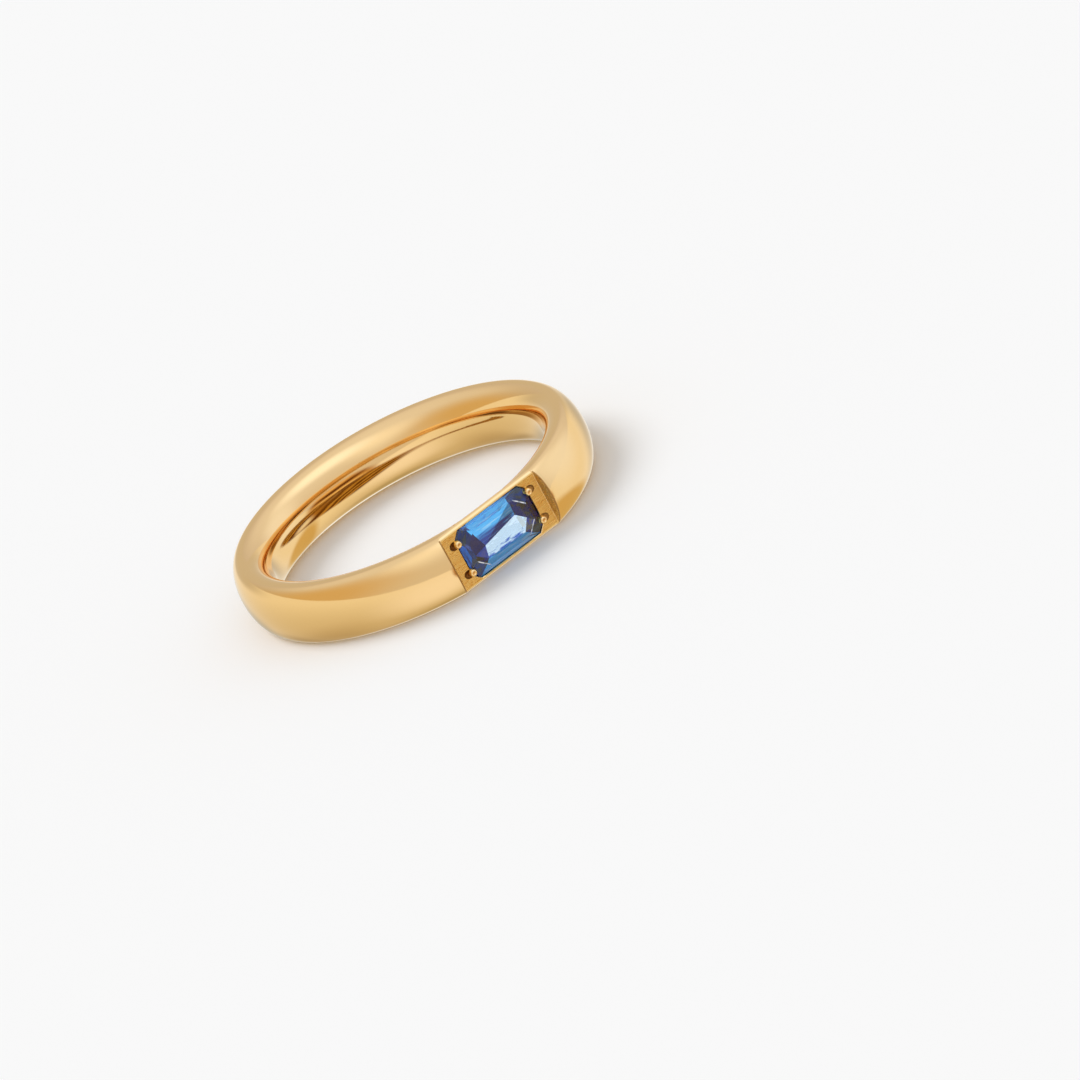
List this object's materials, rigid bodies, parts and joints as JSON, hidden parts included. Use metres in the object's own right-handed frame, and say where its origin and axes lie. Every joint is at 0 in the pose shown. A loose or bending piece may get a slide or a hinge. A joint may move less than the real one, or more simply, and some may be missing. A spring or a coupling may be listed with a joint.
{
  "type": "stackable ring",
  "caption": "Finger ring with a domed, comfort-fit band, a flat seat milled across the front and a cut-corner rectangular stone held by bead claws.",
  "frame": {"origin": "on the ring's axis, in the plane of the side face that the ring rests on; the seat is cut below the dome, so this lies 0.3 mm from the middle of the box", "axes": "+Z along the ring's axis and up as it rests, -Y out through the stone, +X along the stone's length"},
  "size_m": [0.0212, 0.0207, 0.0036],
  "materials": {
    "gold": "mirror-polished gold plate, finely scratched on the milled seat",
    "blue_stone": "clear azure to navy blue, faceted and polished"
  },
  "bodies": {
    "root": {"band": "gold", "stone": "blue_stone"}
  },
  "joints": []
}
